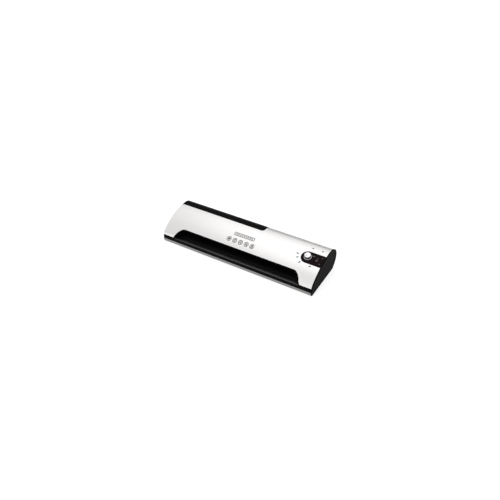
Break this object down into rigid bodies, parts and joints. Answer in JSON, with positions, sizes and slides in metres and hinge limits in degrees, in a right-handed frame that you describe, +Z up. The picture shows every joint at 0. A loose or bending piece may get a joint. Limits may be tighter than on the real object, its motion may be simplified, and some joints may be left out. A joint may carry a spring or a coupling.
{
  "type": "pouch laminator",
  "caption": "Desktop pouch laminator with a curved silver cover, black feed recess, heated and exit roller pairs, gear drive and a rotary selector.",
  "frame": {"origin": "on the ground under the middle of the machine's bounding box", "axes": "+X along the length towards the control end, -Y towards the user and the feed recess, +Z up"},
  "size_m": [0.44, 0.137, 0.071],
  "materials": {
    "silver_paint": "silver metallic lacquer on moulded plastic, satin",
    "base_grey": "mid-grey metallic moulded plastic, satin",
    "black_gloss": "black moulded plastic, semi-gloss",
    "black_texture": "charcoal moulded plastic, fine spark texture",
    "panel_window": "very dark maroon window, glossy",
    "foot_rubber": "black rubber",
    "screw_steel": "zinc-plated",
    "zinc_sheet": "zinc-plated sheet",
    "bright_steel": "ground",
    "bronze": "sintered, oil-filled",
    "acetal": "natural acetal",
    "gear_acetal": "white acetal",
    "shoe_aluminium": "extruded",
    "mica": "laminated mica heater sheet",
    "white_ceramic": "glazed",
    "silicone_red": "heat-resistant silicone",
    "silicone_grey": "silicone",
    "knob_silver": "silver lacquer",
    "knob_bright": "bright disc",
    "board_green": "glass-epoxy board, green resist",
    "board_brown": "paper-phenolic board",
    "led_clear": "clear epoxy",
    "power_lens": "tinted red lens, unlit",
    "ready_lens": "tinted green lens, unlit",
    "component_blue": "potted components",
    "pin_brass": "nickel-plated pins",
    "lead_sheath": "insulated wire",
    "motor_steel": "plated can"
  },
  "bodies": {
    "housing": {"top_cover": "silver_paint", "base": "base_grey", "feed_table": "black_gloss", "feed_visor": "black_gloss", "rear_panel": "black_gloss", "end_cap_left": "black_texture", "end_cap_right": "black_texture", "control_panel": "panel_window", "feet": "foot_rubber", "cover_screws": "screw_steel", "chassis_screws": "screw_steel", "side_plate_left": "zinc_sheet", "side_plate_right": "zinc_sheet", "tie_rods": "bright_steel", "lower_bushes": "bronze", "upper_bearings": "acetal", "pressure_springs": "bright_steel", "guide_plate_lower": "zinc_sheet", "guide_plate_upper": "zinc_sheet", "idler_pin": "bright_steel", "motor_gearbox": "motor_steel", "motor_can": "motor_steel", "motor_bracket": "zinc_sheet", "bracket_posts": "bright_steel", "heater_shoe_lower": "shoe_aluminium", "heater_shoe_upper": "shoe_aluminium", "heating_element_lower": "mica", "heating_element_upper": "mica", "heat_shield": "shoe_aluminium", "thermostat": "black_texture", "thermal_fuse": "white_ceramic", "selector_switch": "black_texture", "control_board": "board_green", "indicator_leds": "led_clear", "power_light": "power_lens", "ready_light": "ready_lens", "power_board": "board_brown", "power_parts": "component_blue", "mains_inlet": "black_texture", "inlet_pins": "pin_brass", "mains_leads": "lead_sheath", "motor_leads": "lead_sheath"},
    "selector": {"selector_knob": "knob_silver", "knob_cap": "knob_bright", "switch_spindle": "bright_steel"},
    "hot_roller_lower": {"hot_shaft_lower": "bright_steel", "hot_sleeve_lower": "silicone_red", "hot_gear_lower": "gear_acetal"},
    "hot_roller_upper": {"hot_shaft_upper": "bright_steel", "hot_sleeve_upper": "silicone_red", "hot_gear_upper": "gear_acetal"},
    "exit_roller_lower": {"exit_shaft_lower": "bright_steel", "exit_sleeve_lower": "silicone_grey", "exit_gear_lower": "gear_acetal"},
    "exit_roller_upper": {"exit_shaft_upper": "bright_steel", "exit_sleeve_upper": "silicone_grey", "exit_gear_upper": "gear_acetal"},
    "idler": {"idler_gear": "gear_acetal"},
    "motor_rotor": {"motor_pinion": "gear_acetal", "motor_shaft": "bright_steel"}
  },
  "joints": [
    {"name": "selector_turn", "type": "hinge", "parent": "housing", "child": "selector", "pos_m": [0.175, -0.007, 0.06093], "axis": [0, -0.2862, 0.9582], "range_deg": [-60, 0]},
    {"name": "hot_lower_spin", "type": "hinge", "parent": "housing", "child": "hot_roller_lower", "pos_m": [0, -0.0085, 0.022], "axis": [1, 0, 0], "continuous": true},
    {"name": "hot_upper_spin", "type": "hinge", "parent": "housing", "child": "hot_roller_upper", "pos_m": [0, -0.0085, 0.042], "axis": [1, 0, 0], "continuous": true},
    {"name": "idler_spin", "type": "hinge", "parent": "housing", "child": "idler", "pos_m": [0, 0.0135, 0.022], "axis": [1, 0, 0], "continuous": true},
    {"name": "exit_lower_spin", "type": "hinge", "parent": "housing", "child": "exit_roller_lower", "pos_m": [0, 0.0355, 0.022], "axis": [1, 0, 0], "continuous": true},
    {"name": "exit_upper_spin", "type": "hinge", "parent": "housing", "child": "exit_roller_upper", "pos_m": [0, 0.0355, 0.042], "axis": [1, 0, 0], "continuous": true},
    {"name": "motor_spin", "type": "hinge", "parent": "housing", "child": "motor_rotor", "pos_m": [0, 0.0135, 0.04], "axis": [1, 0, 0], "continuous": true}
  ],
  "couplings": [
    {"joint": "hot_upper_spin", "follows": "hot_lower_spin", "ratio": -1},
    {"joint": "idler_spin", "follows": "hot_lower_spin", "ratio": -0.83333},
    {"joint": "exit_lower_spin", "follows": "hot_lower_spin", "ratio": 1},
    {"joint": "exit_upper_spin", "follows": "hot_lower_spin", "ratio": -1},
    {"joint": "motor_spin", "follows": "hot_lower_spin", "ratio": 1.6667}
  ]
}
